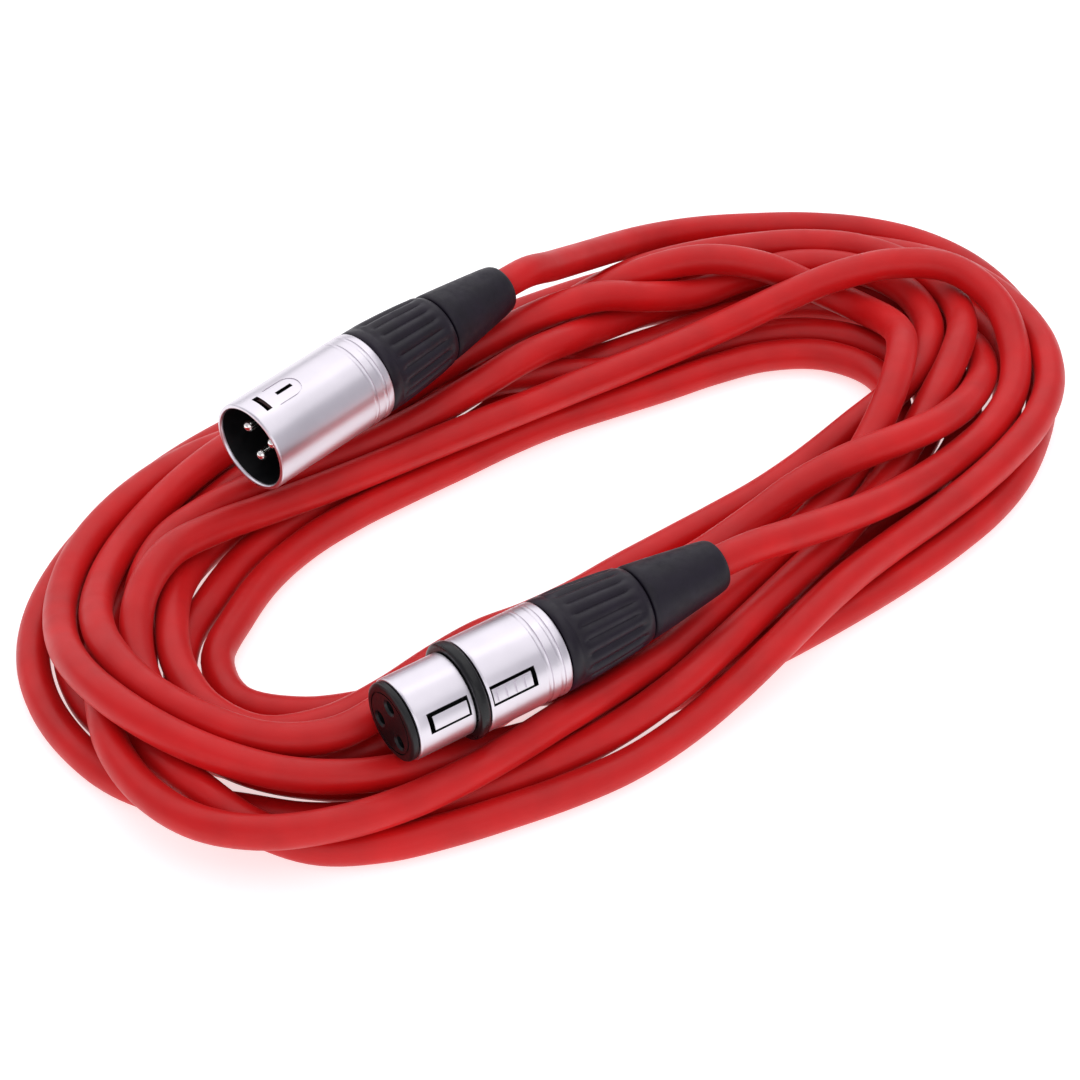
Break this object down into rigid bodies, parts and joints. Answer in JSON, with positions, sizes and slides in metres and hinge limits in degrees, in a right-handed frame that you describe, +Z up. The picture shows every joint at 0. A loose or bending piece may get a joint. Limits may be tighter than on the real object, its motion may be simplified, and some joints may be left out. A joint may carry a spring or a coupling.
{
  "type": "coiled microphone cable",
  "caption": "Coiled red microphone lead with a male plug at one end and a latching female plug at the other.",
  "frame": {"origin": "on the floor under the middle of the bounding box of the coil and its connectors", "axes": "+Z up, +X along the long side of the coil's bounding box, with the male connector at -X and the female connector at -Y"},
  "size_m": [0.2106, 0.195, 0.0355],
  "materials": {
    "jacket_red": "matt soft PVC",
    "satin_nickel": "satin nickel plate",
    "insert_black": "matt",
    "contact_silver": "silver plate",
    "tinned_steel": "tinned",
    "collet_grey": "matt",
    "nut_black": "satin",
    "sleeve_black": "satin",
    "collar_black": "satin",
    "core_bare": "bare twisted strands",
    "core_white": "satin",
    "core_blue": "satin"
  },
  "bodies": {
    "lead": {"cable_jacket": "jacket_red", "male_shell": "satin_nickel", "male_insert": "insert_black", "male_pin_1": "contact_silver", "male_pin_2": "contact_silver", "male_pin_3": "contact_silver", "male_earth_washer": "tinned_steel", "male_core_1": "core_bare", "male_core_2": "core_white", "male_core_3": "core_blue", "female_shell": "satin_nickel", "female_insert": "insert_black", "female_socket_1": "contact_silver", "female_socket_2": "contact_silver", "female_socket_3": "contact_silver", "female_collar": "collar_black", "female_latch_pin": "tinned_steel", "female_latch_spring": "tinned_steel", "female_earth_washer": "tinned_steel", "female_core_1": "core_bare", "female_core_2": "core_white", "female_core_3": "core_blue"},
    "male_clamp": {"male_collet": "collet_grey"},
    "male_boot": {"male_nut": "nut_black", "male_sleeve": "sleeve_black"},
    "female_clamp": {"female_collet": "collet_grey"},
    "female_boot": {"female_nut": "nut_black", "female_sleeve": "sleeve_black"},
    "latch": {"female_latch": "satin_nickel"}
  },
  "joints": [
    {"name": "male_nut_travel", "type": "slide", "parent": "lead", "child": "male_clamp", "axis": [0.6947, 0.7193, 0], "range_m": [0, 0.0045]},
    {"name": "male_nut_turn", "type": "hinge", "parent": "male_clamp", "child": "male_boot", "pos_m": [-0.04027, 0.01508, 0.02601], "axis": [0.6947, 0.7193, 0], "range_deg": [0, 1080]},
    {"name": "female_nut_travel", "type": "slide", "parent": "lead", "child": "female_clamp", "axis": [0.8231, 0.5678, 0], "range_m": [0, 0.0045]},
    {"name": "female_nut_turn", "type": "hinge", "parent": "female_clamp", "child": "female_boot", "pos_m": [-0.00367, -0.05826, 0.02201], "axis": [0.8231, 0.5678, 0], "range_deg": [0, 1080]},
    {"name": "latch_press", "type": "hinge", "parent": "lead", "child": "latch", "pos_m": [-0.00537, -0.06549, 0.02444], "axis": [0.2489, -0.3608, -0.8988], "range_deg": [0, 3.4], "stiffness_Nm_per_rad": 0.05, "deforming": ["female_latch_spring"]}
  ],
  "couplings": [
    {"joint": "male_nut_turn", "follows": "male_nut_travel", "rad_per_m": 4188.7},
    {"joint": "female_nut_turn", "follows": "female_nut_travel", "rad_per_m": 4188.7}
  ]
}
